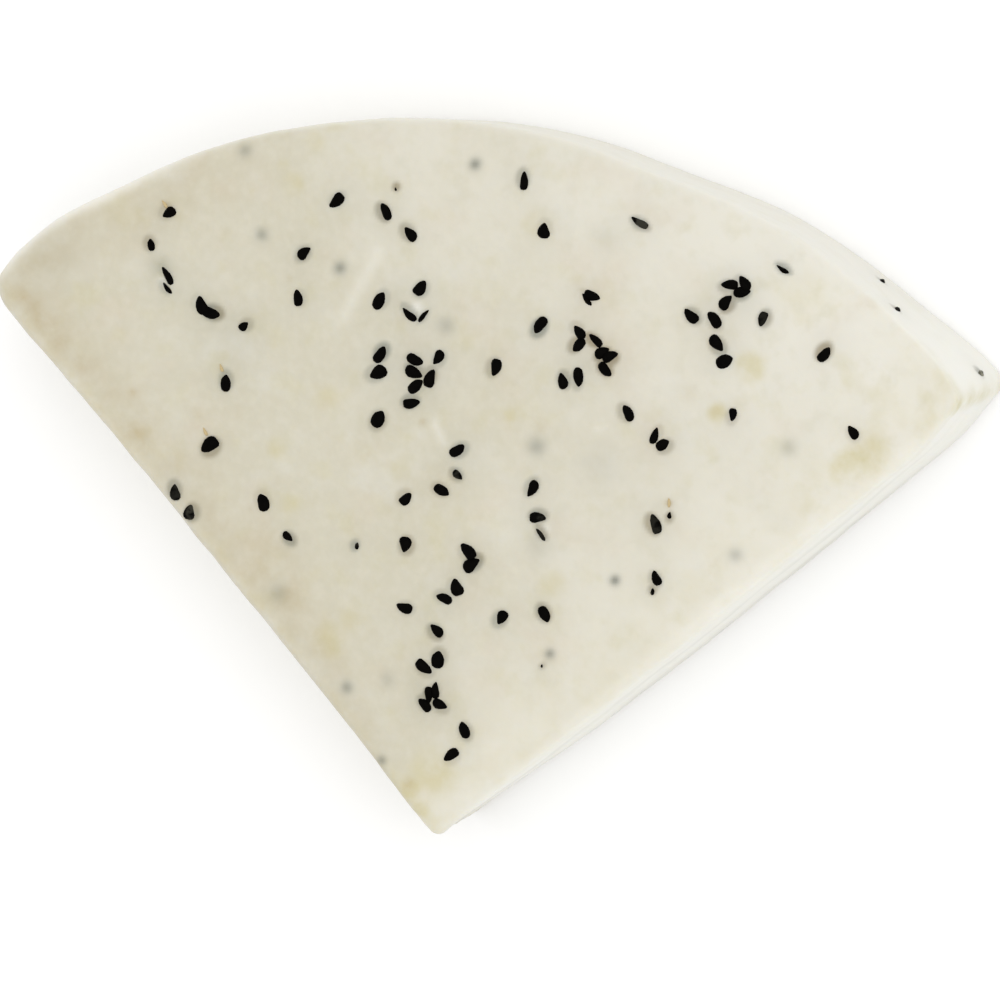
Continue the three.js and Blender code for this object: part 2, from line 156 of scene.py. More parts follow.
# On the upper face the seeds lie in short strands: ends in the plan, number of seeds, and the turn of the
# first and the last seed's point from +Y in degrees. A narrow seed lies on its side, a sliver is on edge
# and sunk till only its ridge shows, a splinter is half of a split seed, and a fleck is a broken bit. A
# film is a smear of curd.
LARGE = {"size": 1.12}
FAT = {"size": 1.1, "width": 1.2}
LONG = {"size": 1.12, "width": 0.88}
ROUND = {"width": 1.22}
SLIGHT = {"size": 0.9}
SMALL = {"size": 0.72}
STUBBY = {"size": 0.88, "width": 1.18}
CHIP = {"size": 0.68, "width": 1.25}
NARROW = {"width": 0.78}
SLENDER = {"size": 0.8, "width": 0.78}
SPLINTER = {"size": 1.2, "width": 0.6, "proud": 0.36}
SLIVER = {"width": 0.5, "proud": 0.3}
FLECK = {"size": 0.4}
STRANDS = [
    single((-50.5, 87), 123, **STUBBY),
    single((-52.7, 82), 17, **SMALL),
    single((-50, 77.7), 37, **SPLINTER),
    single((-49.8, 76), 44, **SLIVER),
    strand((-44, 74), (-42.5, 73), 2, (26, -99), **LARGE),
    single((-37.2, 71.8), -48, **CHIP),
    single((-39, 63), 6),
    single((-40.5, 53.5), 134, **FAT),
    single((-45, 46), 15, film=0.05),
    single((-42.3, 43.4), 0, **STUBBY, film=0.12),
    single((-31.5, 46), 24, **FAT),
    single((-27, 41.5), -126, **SMALL),
    single((-16.3, 41.5), 0, **FLECK, film=0.08),
    strand((-29.6, 76.8), (-29, 83.7), 2, (15, -41)),
    single((-25.2, 91.7), 141),
    single((-17.6, 91), 32, **LONG),
    single((-13.7, 88.2), 43),
    single((-17, 78), -20, **LARGE),
    single((-11, 80.7), -29, **ROUND),
    single((-12.4, 76.5), 55, **SPLINTER),
    single((-10, 76.7), -34, **SLIVER),
    single((-16, 70.2), -26, **LARGE),
    single((-16, 67.2), 120, **FAT),
    single((-15, 60.7), -19, **FAT),
    single((-9.6, 49.5), -37, **STUBBY),
    single((-9, 42.5), 184, **ROUND),
    single((-8.2, 33.5), 81),
    strand((-10.5, 70), (-10.5, 68), 2, (-106, -111), **LARGE),
    single((-10, 66), -43, **LARGE),
    single((-10.3, 63.5), -74),
    single((-7.4, 70.5), 157),
    single((-8, 67.5), -13, **LARGE),
    single((-2.8, 57.6), -48),
    single((-2.2, 53.8), -128, **SMALL, film=0.1),
    single((-4.5, 51.2), -112),
    strand((0.5, 43), (1.5, 41), 2, (50, -45), **LARGE),
    single((-0.5, 37.5), 28, **ROUND),
    single((-2.2, 35.5), 75),
    single((-2.9, 30.8), 51),
    single((-2, 26.6), 2, **ROUND),
    single((-4, 25.1), -120, **LARGE),
    strand((-2, 22), (-3, 21), 2, (6, 186), **NARROW),
    strand((-3.5, 19.5), (-1, 20), 2, (51, -109)),
    strand((3, 16.8), (1.4, 12.7), 2, (28, 133)),
    single((9, 53.2), 160, **LONG),
    single((10.5, 49), -83, film=0.05),
    single((11.1, 46.8), 45, **SLIVER, film=0.05),
    single((6.8, 33.8), 153, **STUBBY),
    single((13.1, 35.1), -146),
    single((2.5, 98), 6, **NARROW),
    single((6.6, 91.2), 9, **ROUND),
    single((1.5, 70.1), 173),
    single((7.5, 77.2), 151, **LARGE),
    strand((13.5, 77), (13.5, 75), 2, (41, 145)),
    single((16, 76), 54, **NARROW),
    strand((17.5, 74.5), (18.5, 74), 2, (-52, -61)),
    single((18, 72), -132),
    single((11.7, 69.6), 17),
    single((14.1, 70.3), 190, **LONG),
    single((15, 82.4), -102),
    single((13.9, 81.9), 44, **SLIVER),
    single((20.5, 94), 66, **SPLINTER, film=0.12),
    single((22, 66), 34),
    single((26.5, 63.3), -14, **NARROW),
    single((27.9, 62.1), -51, **STUBBY),
    single((28, 50.6), 27, **LONG, film=0.05),
    single((30, 52), 0, **FLECK),
    single((29.1, 42.6), 28, **SLIGHT),
    single((28.8, 40.6), 0, **FLECK),
    strand((37, 87), (37, 85.5), 2, (37, -75)),
    strand((35, 86.5), (35, 84), 2, (95, -31)),
    single((29.9, 81.4), 53),
    single((33.2, 81.3), 44, **LARGE),
    single((34.3, 77.7), -137, **LARGE),
    single((35.6, 75.3), -58, **FAT),
    single((40.4, 82.1), 168, **SLIGHT, film=0.04),
    single((42.3, 89.7), 63, **SLIVER),
    single((37.7, 67.7), 182, **SMALL),
    single((50.1, 78.2), -33),
    single((55.4, 67.5), 39, **SLIGHT),
]

# Bits of tan husk beside seeds and the smallest dark specks
HUSK = {"size": 0.5, "width": 0.6, "proud": 0.5, "husk": 1}
SPECK = {"size": 0.2, "proud": 0.5}
CRUMBS = [
    single((-51.3, 88.3), 42, **HUSK),
    single((-40, 65.1), 27, **HUSK),
    single((-41.3, 55.4), 32, **HUSK),
    single((29.8, 53.8), 8, **HUSK),
    single((-16.5, 94.5), 20, **SPECK),
    single((13.5, 27.5), 0, **SPECK),
]

# Slender seeds that stand upright in the rind near the right corner: angle about the wheel's centre and
# turn, both in degrees, height and film
RIND_SEEDS = [(58.2, 148, 8, 0), (55.1, 145, 19, 0), (47.1, 137, 10, 1)]

# Seeds scattered over the left cut and the left third of the rind, and flush ones on the underside
LEFT_CUT_SEEDS = 7
LEFT_RIND_SEEDS = 4
LEFT_RIND_START = math.radians(110)
WALL_MARGIN = 9
WALL_PLACE_SPREAD = 0.35
WALL_LOW = 5
WALL_HIGH = THICKNESS - 6
BASE_SEEDS = 46
BASE_PROUD = 0.03
BASE_SPREAD = 62
BASE_NUDGE = 4

# How far a seed darkens the curd round it, how far to one side of it and from which share of its own size
# on, how strongly at least and at most, and how strongly beside a seed with a film
HALO_WIDTH, HALO_ASIDE, HALO_START = 0.55, 0.35, 0.9
HALO_LEAST, HALO_MOST, FILM_HALO = 0.2, 0.75, 0.6

# The faint darkening of the curd round many seeds, which is nothing beyond a few times its reach
CLUSTER_REACH, CLUSTER_SHADE, CLUSTER_MOST = 2.6, 0.055, 0.17
CLUSTER_LIMIT = 2.5 * CLUSTER_REACH

# Thin skins of curd that lap over split seeds: place in the plan, radius and strength
SKINS = [(-11.3, 77.6, 1, 0.8), (-50.7, 76.9, 0.6, 0.6), (11.9, 47.7, 0.6, 0.5), (20.8, 94.4, 0.4, 0.7)]

# Seeds under a skin of curd, which show as faint grey blots: place in the plan, radius and strength
BURIED = [
    (-40, 97.5, 1.1, 0.5), (-36, 85.5, 1, 0.6), (-23.5, 82, 1, 0.8), (-5, 99.5, 0.9, 0.9),
    (-6.5, 75.5, 1.4, 0.4), (-15.5, 20.5, 1, 0.65), (-9.5, 22.5, 1.2, 0.3), (-27.5, 33, 1.5, 0.35),
    (9, 59.5, 1.4, 0.55), (23, 41.5, 0.8, 1), (14.5, 29.5, 0.8, 0.8), (13.5, 27.5, 0.4, 0.6),
    (46.5, 64, 1.3, 0.35), (40.5, 47.5, 1.1, 0.45), (-9, 10.5, 0.8, 0.7), (11, 45, 2, 0.2),
    (16, 91, 2.5, 0.12), (18.5, 58, 3.5, 0.12), (-51, 79, 1.5, 0.3), (-38.5, 69.5, 6, 0.08),
    (-68, 78, 6, 0.1),
]

# Butterfat stains: place in the plan, radius and strength
STAINS = [
    (39.5, 75, 2.3, 1), (58, 64.5, 3.2, 0.85), (55, 62, 2.5, 0.65), (13.5, 39.5, 2.2, 0.6),
    (-19, 27, 2.6, 0.6), (-16, 30.5, 2, 0.5), (-1, 10, 3.5, 0.6), (-11, 53.5, 1.6, 0.6),
    (-30, 54.5, 1.8, 0.7), (-32, 93.5, 1.8, 0.6), (-29.5, 100, 1.6, 0.5), (-23.5, 62.5, 1.8, 0.4),
    (-32, 70.5, 1.8, 0.4), (-27.5, 46.5, 1.6, 0.6), (4.5, 63.5, 1, 0.6), (5.5, 92, 2.4, 0.4),
    (46, 86, 4, 0.3), (35.3, 67.7, 1.5, 0.75), (-4.2, 6.8, 1.5, 0.6), (-2.4, 4, 1.3, 0.5),
]

# Ochre marks: bits of husk beside seeds, small brown dots and the browned left corner
OCHRES = [
    (-51, 88.3, 0.6, 0.7), (-40, 65, 0.5, 0.6), (-41, 55.2, 0.5, 0.6), (29.7, 53.7, 0.6, 1),
    (-31, 79.5, 0.5, 0.4), (35, 68, 1, 0.2), (-36.5, 59, 0.9, 0.4), (-42.5, 58, 1.1, 0.35),
    (-57, 59.5, 1.2, 0.3), (-53, 60, 0.7, 0.4), (-61, 63, 1.5, 0.25), (-20.5, 25.5, 1, 0.5),
    (9.5, 62.5, 0.9, 0.4), (31, 70, 1.2, 0.3), (-4.5, 7.5, 0.9, 0.5), (-52, 54, 1.6, 0.4),
    (-29.5, 38.5, 3.5, 0.35), (-25.5, 33.5, 3, 0.3), (-8.5, 61, 0.6, 0.4),
]
BROWNED_CORNER = complex(-68, 70)
BROWNED_REACH = 7
BROWNED_INSET, BROWNED_WIDTH, BROWNED = 3.2, 1.6, 0.55

# Along the left part of the rind the face is a little browner: angles, distance inside the rim, width and
# strength
RIND_BROWN_START, RIND_BROWN_FULL = math.radians(103), math.radians(118)
RIND_BROWN_INSET, RIND_BROWN_WIDTH, RIND_BROWN = 4, 5, 0.27

# Painted light: the curd is paler from the left to the right, as if lit from the right. It also pales at
# the middle of the rind and along its upper right shoulder
PAINTED_LIGHT_FROM, PAINTED_LIGHT_TO = -12, 82
PALE_RIND, PALE_RIND_PLACE, PALE_RIND_REACH = 0.45, complex(-17, 100), 22
PALE_SHOULDER, PALE_SHOULDER_WIDTH = 0.3, 16
PALE_SHOULDER_RIND = math.radians(75), math.radians(95)

# Painted highlights make it whiter where it rolls off near the tip and along the edge of the right cut; it
# is whiter in the creases, and creamier in a broad band beside the right cut
ROLL_HIGHLIGHT, ROLL_HIGHLIGHT_WIDTH = 0.5, 7
CUT_EDGE_HIGHLIGHT, CUT_EDGE_HIGHLIGHT_WIDTH = 0.45, 1.6
CREASE_PALE = 1.5
CUT_CREAM, CUT_CREAM_INSET, CUT_CREAM_WIDTH = 0.25, 4, 8

# A painted highlight makes the rim white along the left of the rind and fainter along the left cut, where a
# little
# fat shows inside it: distance inside the rim, width and strength
RIM_HIGHLIGHT_WIDTH = 1.2
LEFT_CUT_RIM_HIGHLIGHT = 0.4
RIM_HIGHLIGHT_START, RIM_HIGHLIGHT_FULL = math.radians(106), math.radians(124)
LEFT_CUT_FAT_INSET, LEFT_CUT_FAT_WIDTH, LEFT_CUT_FAT = 1.2, 1.3, 0.35

# The right cut and the rind next to it are white, partly whiter curd and partly painted light on the side
# lit from the right, and the rest of the rind is half as white
CUT_REACH = 4
WHITE_RIND = math.radians(48), math.radians(60)
RIND_WHITE = 0.55

# A grey line along the right cut and painted shade that darkens its foot, both fading towards the right
# corner:
# height, width and strength
CUT_LINE_AND_FOOT_SHADE = [(16, 1.6, 0.22), (0, 5, 0.34)]
CUT_LINE_AND_FOOT_SHADE_FADE = 16

# Painted shade: a thin grey line along the upper edge of the left cut: height, width, strength and distance
# from the tip
SHADED_EDGE_HEIGHT, SHADED_EDGE_WIDTH, SHADED_EDGE, SHADED_EDGE_START = THICKNESS - 1.2, 0.9, 0.35, 9

# Fat shows yellow just inside the right corner's edges and down the corner's own edge
CORNER_FAT, CORNER_FAT_REACH, CORNER_FAT_INSET, CORNER_FAT_WIDTH = 0.35, 9, 3.5, 1.5
CORNER_EDGE_FAT, CORNER_EDGE_WIDTH = 0.75, 1.6

# Heights where the tints of the upper face start and are full, and how far up a normal points on a wall and
# on a level face
TOP_HEIGHTS = THICKNESS - 6, THICKNESS - 3
WALL_NORMALS = 0.3, 0.95

# Patterns in the curd: size in millimetres, detail and layer of the noise
CURD_PATTERNS = {
    "clouds": (16, 3.0, 0.0),
    "ragged_edges": (3.5, 4.0, 1.0),
    "white_patches": (6, 3.0, 2.0),
    "tan_patches": (9, 3.0, 3.0),
    "yellow_patches": (4.5, 3.0, 4.0),
    "olive_flecks": (2.4, 3.0, 8.0),
    "pale_grains": (1.3, 3.0, 5.0),
    "shadow_hues": (12, 2.0, 6.0),
    "fine_grain": (1.1, 5.0, 7.0),
}

# Tints that are stored in the curd's mesh, and those of them that get ragged edges
PAINTED_TINTS = ("seed_shade", "buried_seed", "butterfat", "ochre", "pale", "white", "wall", "grey_line_and_painted_shade")
RAGGED_TINTS = ("butterfat", "ochre")

# Colours laid over the curd one after another: pattern or tint, where it starts and is full, strength and
# colour
CURD_LAYERS = [
    ("white_patches", 0.52, 0.72, 0.4, "#D2D0C6"),
    ("tan_patches", 0.54, 0.74, 0.25, "#C9BAA3"),
    ("yellow_patches", 0.54, 0.74, 0.33, "#C2BB92"),
    ("olive_flecks", 0.52, 0.75, 0.22, "#BEB99F"),
    ("pale_grains", 0.4, 0.7, 0.2, "#DAD6C8"),
    # Painted highlights, with white creases and skins
    ("white", 0, 1, 1, "#E8E6DD"),
    # Whiter walls, partly painted light
    ("wall", 0, 1, 0.9, "#E8E7DF"),
    # A grey line on the right cut, with painted shade at its foot and on the left cut's upper edge
    ("grey_line_and_painted_shade", 0, 1, 0.8, "#979590"),
    ("butterfat", 0, 1, 0.7, "#C1B785"),
    ("ochre", 0, 1, 0.75, "#A99360"),
    ("buried_seed", 0, 1, 0.8, "#666A62"),
]

# The view of the photo: where the camera stands in the plan's millimetres, its axes, its lens and sensor
CAMERA_PLACE = (241.0, 127.9, 1025.4)
CAMERA_RIGHT = (0.965, 0.1112, -0.2374)
CAMERA_UP = (-0.1256, 0.991, -0.0466)
LENS = 252
SENSOR_WIDTH = 36

# The studio in metres and watts: the floor's side, the key light's place, side and power, and how bright
# the room is
FLOOR_SIZE = 8.0
KEY_PLACE = (0.22, 0.15, 1.08)
KEY_SIZE = 1.2
KEY_POWER = 4.15
ROOM_STRENGTH = 0.94


class Draws:
    """A linear congruential generator, so that every draw is the same on every run."""

    def __init__(self, start):
        self.state = start

    def random(self):
        self.state = (1664525 * self.state + 1013904223) % 4294967296
        return self.state / 4294967296

    def spread(self, size):
        return (2 * self.random() - 1) * size


def along(points, angle):
    """How far plan points lie along a heading."""
    return (points * np.exp(-1j * angle)).real


def heading(angle, length=1.0):
    """A step in the plan, of a length along an angle."""
    return length * np.exp(1j * angle)


def bell(x, width):
    """1 at nothing, fading to both sides over a width."""
    return np.exp(-((x / width) ** 2))


def smoothstep(x, low, high):
    """0 up to low, 1 from high on, and smooth between."""
    share = np.clip((x - low) / (high - low), 0, 1)
    return share * share * (3 - 2 * share)


def corner_centre(cut, inward, radius):
    """The centre of the rounding between a cut and the rind: one radius inside both of them."""
    start = heading(inward, radius) - WHEEL_CENTRE
    half = along(start, cut)
    distance = -half + math.sqrt(half**2 - abs(start) ** 2 + (WHEEL_RADIUS - radius) ** 2)
    return WHEEL_CENTRE + start + heading(cut, distance)


def rim_angle(corner):
    """The angle of a corner about the wheel's centre."""
    return np.angle(corner - WHEEL_CENTRE)


RIGHT_CORNER = corner_centre(RIGHT_CUT, RIGHT_INWARD, RIGHT_CORNER_RADIUS)
LEFT_CORNER = corner_centre(LEFT_CUT, LEFT_INWARD, LEFT_CORNER_RADIUS)
CORNER_TURN = (RIGHT_INWARD - math.pi + rim_angle(RIGHT_CORNER)) / 2
HALF_ANGLE = (LEFT_CUT - RIGHT_CUT) / 2
MIDDLE = (LEFT_CUT + RIGHT_CUT) / 2
TIP_CENTRE = heading(MIDDLE, TIP_RADIUS / math.sin(HALF_ANGLE))

# The point that is equally far from both cuts and the rind, towards which the edges are drawn in
INSET = WHEEL_RADIUS * math.sin(HALF_ANGLE) / (1 + math.sin(HALF_ANGLE))
HEART = heading(MIDDLE, INSET / math.sin(HALF_ANGLE))

# The outline's round stretches, anticlockwise from the tip: centre, radius, first and last angle, steps
ARCS = [
    (TIP_CENTRE, TIP_RADIUS, LEFT_INWARD + math.pi, RIGHT_INWARD + math.pi, 6),
    (RIGHT_CORNER, RIGHT_CORNER_RADIUS, RIGHT_INWARD - math.pi, rim_angle(RIGHT_CORNER), 8),
    (WHEEL_CENTRE, WHEEL_RADIUS, rim_angle(RIGHT_CORNER), rim_angle(LEFT_CORNER), 90),
    (LEFT_CORNER, LEFT_CORNER_RADIUS, rim_angle(LEFT_CORNER), LEFT_INWARD + math.pi, 14),
]
CUT_PIECES = 50
OUTLINE_STEPS = 400


def rind_rise(angle):
    """How far the rind stands out from the round wheel."""
    return sum(height * bell(angle - at, width) for at, width, height in RIND_SWELLS)


def cut_bow(points, cut, inward, length, depth, reach):
    """How far a cut swells or sinks at points near it, most in the middle of its length."""
    share = np.clip(along(points, cut) / length, 0, 1)
    return depth * bell(along(points, inward), reach) * np.sin(math.pi * share)


def uneven_outline(points):
    """Push points of the outline to the uneven line of the real rind and the two cuts."""
    from_centre = points - WHEEL_CENTRE
    near_rim = smoothstep(abs(from_centre), WHEEL_RADIUS - RIND_FADE, WHEEL_RADIUS)
    rind = near_rim * rind_rise(np.angle(from_centre))
    length = abs(RIGHT_CORNER)
    from_tip = np.clip(along(points, RIGHT_CUT), 0, length)
    from_cut = along(points, RIGHT_INWARD)
    belly = -cut_bow(points, RIGHT_CUT, RIGHT_INWARD, length, BELLY_DEPTH, BELLY_REACH)
    hollow = cut_bow(points, LEFT_CUT, LEFT_INWARD, abs(LEFT_CORNER), HOLLOW_DEPTH, HOLLOW_REACH)
    into_curl = np.maximum(0, 1 - (length - from_tip) / CURL_LENGTH)
    curl = CURL_DEPTH * into_curl**2 * bell(from_cut, CURL_REACH)
    rind_push = rind * from_centre / abs(from_centre)
    return points + rind_push + heading(RIGHT_INWARD, belly + curl) + heading(LEFT_INWARD, hollow)


CORNER_TIP = uneven_outline(RIGHT_CORNER + heading(CORNER_TURN, RIGHT_CORNER_RADIUS))


def outline_points():
    """Close points all along the outline."""
    ends = [centre + heading(angle, radius) for centre, radius, *turns, _ in ARCS for angle in turns]
    arcs = [
        centre + heading(np.linspace(first, last, OUTLINE_STEPS), radius)
        for centre, radius, first, last, _ in ARCS
    ]
    cuts = [np.linspace(ends[1], ends[2], OUTLINE_STEPS), np.linspace(ends[-1], ends[0], OUTLINE_STEPS)]
    return uneven_outline(np.concatenate(arcs + cuts))


def from_line(points, start, end):
    """How far plan points lie from a straight line between two points."""
    way = end - start
    share = np.clip(((points - start) * np.conj(way)).real / abs(way) ** 2, 0, 1)
    return abs(points - start - share * way)


def crease_depth(points):
    """How deep the creases are at plan points."""
    return sum(d * bell(from_line(points, complex(*a), complex(*b)), w) for a, b, w, d in CREASES)


def rolled_off(from_edge, drop, width):
    """How far the face rolls off: its full drop at the edge, and nothing a width inside it."""
    return drop * np.maximum(0, 1 - from_edge / width) ** 2


def face_relief(points):
    """How far the upper face stands above its level: long waves, less the rolls at the tip and the rind."""
    waves = sum(h * np.sin(2 * math.pi * along(points, turn) / length) for length, turn, h in FACE_WAVES)
    tip_roll = rolled_off(along(points, RIGHT_INWARD), ROLL_DROP, ROLL_WIDTH)
    from_centre = points - WHEEL_CENTRE
    rind_roll = rolled_off(WHEEL_RADIUS - abs(from_centre), RIND_ROLL_DROP, RIND_ROLL_WIDTH)
    near_angle = bell(np.angle(from_centre) - RIND_ROLL_ANGLE, RIND_ROLL_SPREAD)
    return waves - tip_roll * bell(along(points, RIGHT_CUT), ROLL_LENGTH) - rind_roll * near_angle


def tip_tuck(points):
    """How far the foot of the right cut lies inside its upper edge."""
    near = bell(along(points, RIGHT_INWARD), TUCK_REACH) * bell(along(points, RIGHT_CUT), TUCK_LENGTH)
    return TUCK_DEPTH * near


def lean(points, level):
    """Move points at a level between base and upper face as the walls lean there."""
    towards = WHEEL_CENTRE - points
    from_corner = abs(points - RIGHT_CORNER)
    leaning = CORNER_LEAN * bell(from_corner, CORNER_REACH)
    worn = CORNER_WEAR * bell(from_corner, CORNER_WEAR_REACH)
    leant = points + level * (leaning + worn) * towards / abs(towards)
    return leant + heading(RIGHT_INWARD, (1 - level) * tip_tuck(leant))


def section():
    """Half of the wedge's section, from base to upper face: pairs of share of the outline and height."""
    turns = [math.pi / 2 * i / EDGE_STEPS for i in range(EDGE_STEPS + 1)]
    base, top = BASE_EDGE_RADIUS, TOP_EDGE_RADIUS
    low = [(1 - (1 - math.sin(t)) * base / INSET, base * (1 - math.cos(t))) for t in turns]
    high = [(1 - (1 - math.cos(t)) * top / INSET, THICKNESS - top + top * math.sin(t)) for t in turns]
    return low + high


def space(point, height=0.0):
    """A plan point, still in the plan's own place, in metres."""
    return Vector((point.real, point.imag, height)) * MM


def clear_selection():
    if bpy.context.object and bpy.context.object.mode != "OBJECT":
        bpy.ops.object.mode_set(mode="OBJECT")
    bpy.ops.object.select_all(action="DESELECT")


def select_faces(obj, wanted):
    """In edit mode, select only the faces for which wanted(face) is true."""
    bpy.ops.mesh.select_mode(type="FACE")
    bpy.ops.mesh.select_all(action="DESELECT")
    mesh = bmesh.from_edit_mesh(obj.data)
    for face in mesh.faces:
        face.select_set(bool(wanted(face)))
    bmesh.update_edit_mesh(obj.data)


def apply_modifier(obj, kind, **settings):
    """Add a modifier with its settings and apply it."""
    modifier = obj.modifiers.new(kind.title(), kind)
    for name, value in settings.items():
        setattr(modifier, name, value)
    bpy.context.view_layer.objects.active = obj
    bpy.ops.object.modifier_apply(modifier=modifier.name)


def read_points(mesh):
    points = np.empty(len(mesh.vertices) * 3)
    mesh.vertices.foreach_get("co", points)
    return points.reshape(-1, 3)


def write_points(mesh, points):
    mesh.vertices.foreach_set("co", points.ravel())
    mesh.update()


def read_normals(mesh):
    normals = np.empty(len(mesh.vertices) * 3)
    mesh.vertex_normals.foreach_get("vector", normals)
    return normals.reshape(-1, 3)


def paint(mesh, name, values):
    """Store one number for each vertex, for a material to read."""
    layer = mesh.attributes.new(name, "FLOAT", "POINT")
    layer.data.foreach_set("value", np.clip(values, 0, 1).astype(np.float32))


def draw_outline():
    """Draw the wedge's outline as one face: each round stretch is a spin, and each cut an edge."""
    clear_selection()
    bpy.ops.mesh.primitive_plane_add(size=TIP_RADIUS * MM)
    wedge = bpy.context.object
    bpy.ops.object.mode_set(mode="EDIT")
    bpy.ops.mesh.merge(type="CENTER")
    here = complex(0, 0)
    for number, (centre, radius, first, last, steps) in enumerate(ARCS):
        start = centre + heading(first, radius)
        if number == 0:
            bpy.ops.transform.translate(value=space(start))
        elif abs(start - here) > TIP_RADIUS:
            bpy.ops.mesh.extrude_vertices_move(TRANSFORM_OT_translate={"value": space(start - here)})
        bpy.ops.mesh.spin(steps=steps, angle=first - last, center=space(centre), axis=(0, 0, 1))
        here = centre + heading(last, radius)
    bpy.ops.mesh.select_all(action="SELECT")
    bpy.ops.mesh.remove_doubles(threshold=0.01 * MM)
    bpy.ops.mesh.edge_face_add()
    split_cuts(wedge)
    shape_outline(wedge)
    return wedge


def split_cuts(wedge):
    """Split the two long straight edges of the outline, so that they can curve."""
    bpy.ops.mesh.select_mode(type="EDGE")
    bpy.ops.mesh.select_all(action="DESELECT")
    mesh = bmesh.from_edit_mesh(wedge.data)
    for edge in mesh.edges:
        edge.select_set(edge.calc_length() > INSET * MM)
    bmesh.update_edit_mesh(wedge.data)
    bpy.ops.mesh.subdivide(number_cuts=CUT_PIECES - 1)


def shape_outline(wedge):
    """Push the drawn outline to its uneven line."""
    mesh = bmesh.from_edit_mesh(wedge.data)
    for vertex in mesh.verts:
        vertex.co = space(uneven_outline(complex(vertex.co.x, vertex.co.y) / MM))
    bmesh.update_edit_mesh(wedge.data)


def raise_wedge(wedge):
    """Raise the outline in steps, each drawn in towards the heart, so that both edges come out round."""
    bpy.ops.mesh.select_mode(type="FACE")
    bpy.ops.mesh.select_all(action="SELECT")
    share, height = 1.0, 0.0
    for number, (next_share, next_height) in enumerate(section()):
        if number:
            bpy.ops.mesh.extrude_region_move(
                TRANSFORM_OT_translate={"value": (0, 0, (next_height - height) * MM)}
            )
        size = next_share / share
        bpy.ops.transform.resize(value=(size, size, 1), center_override=space(HEART, next_height))
        share, height = next_share, next_height
    bpy.ops.mesh.select_all(action="SELECT")
    bpy.ops.mesh.normals_make_consistent(inside=False)
    bpy.ops.object.mode_set(mode="OBJECT")


def even_mesh(wedge):
    """Give the wedge small even faces, smaller still on top, and draw them back onto its true form."""
    form = wedge.copy()
    form.data = wedge.data.copy()
    bpy.context.scene.collection.objects.link(form)
    apply_modifier(wedge, "REMESH", mode="VOXEL", voxel_size=VOXEL * MM)
    apply_modifier(wedge, "SMOOTH", factor=0.5, iterations=SMOOTHING_ROUNDS)
    bpy.ops.object.mode_set(mode="EDIT")
    level = (THICKNESS - TOP_EDGE_RADIUS - VOXEL) * MM
    select_faces(wedge, lambda face: face.calc_center_median().z > level)
    bpy.ops.mesh.subdivide(number_cuts=1)
    bpy.ops.object.mode_set(mode="OBJECT")
    apply_modifier(wedge, "SHRINKWRAP", target=form)
    bpy.data.objects.remove(form)


def shape_faces(wedge):
    """Press the upper face's relief into the even mesh, and lean the walls."""
    points = read_points(wedge.data) / MM
    plan = points[:, 0] + 1j * points[:, 1]
    level = np.clip(points[:, 2] / THICKNESS, 0, 1)
    leant = lean(plan, level)
    lifted = points[:, 2] + level**RELIEF_FADE_POWER * face_relief(leant)
    on_top = smoothstep(points[:, 2], THICKNESS - TOP_EDGE_RADIUS, THICKNESS)
    lifted -= on_top * crease_depth(leant)
    write_points(wedge.data, np.column_stack([leant.real, leant.imag, np.maximum(lifted, 0)]) * MM)


def score_cuts(wedge):
    """Draw the knife's fine drag lines along both cuts, a little slanted and uneven in depth."""
    points = read_points(wedge.data) / MM
    normals = read_normals(wedge.data)
    plan = points[:, 0] + 1j * points[:, 1]
    facing = normals[:, 0] + 1j * normals[:, 1]
    for cut, inward in ((RIGHT_CUT, RIGHT_INWARD), (LEFT_CUT, LEFT_INWARD)):
        on_cut = smoothstep(-along(facing, inward), *KNIFE_FACING)
        from_tip = along(plan, cut)
        slanted = points[:, 2] + KNIFE_SLANT * from_tip
        depth = sum(
            d * np.sin(2 * math.pi * slanted / gap + np.sin(from_tip / gap**2)) for gap, d in KNIFE_LINES
        )
        points += (on_cut * depth)[:, None] * normals
    write_points(wedge.data, points * MM)


def lump_curd(wedge):
    """Push the curd in and out a little, in soft lumps, everywhere above the flat base."""
    group = wedge.vertex_groups.new(name="above_base")
    heights = read_points(wedge.data)[:, 2] / MM
    weights = smoothstep(heights, 0, 2 * BASE_EDGE_RADIUS)
    for index, weight in enumerate(weights):
        group.add([index], float(weight), "REPLACE")
    for size, stand in LUMPS:
        lumps = bpy.data.textures.new(f"lumps_{size}", "CLOUDS")
        lumps.noise_scale = size * MM
        apply_modifier(
            wedge, "DISPLACE", texture=lumps, texture_coords="LOCAL", strength=2 * stand * MM,
            mid_level=0.5, vertex_group="above_base",
        )
    wedge.vertex_groups.clear()


def model_wedge(shift):
    """The whole wedge of curd, moved from the plan's place to the frame's."""
    wedge = draw_outline()
    raise_wedge(wedge)
    even_mesh(wedge)
    shape_faces(wedge)
    lump_curd(wedge)
    score_cuts(wedge)
    wedge.data.transform(Matrix.Translation(shift))
    bpy.ops.object.shade_smooth()
    wedge.name = wedge.data.name = "cheese_curd"
    return wedge


def draw_out(seed, profile):
    """In edit mode, scale each ring of a ball along Y to a seed's width there."""
    mesh = bmesh.from_edit_mesh(seed.data)
    stations = sorted({round(vertex.co.y, 4) for vertex in mesh.verts})[1:-1]
    for station in stations:
        for vertex in mesh.verts:
            vertex.select_set(abs(vertex.co.y - station) < 0.001)
        bmesh.update_edit_mesh(seed.data)
        width = np.interp(station, SEED_STATIONS, profile) / math.sqrt(0.25 - station**2)
        bpy.ops.transform.resize(value=(width, 1, width), center_override=(0, station, 0))


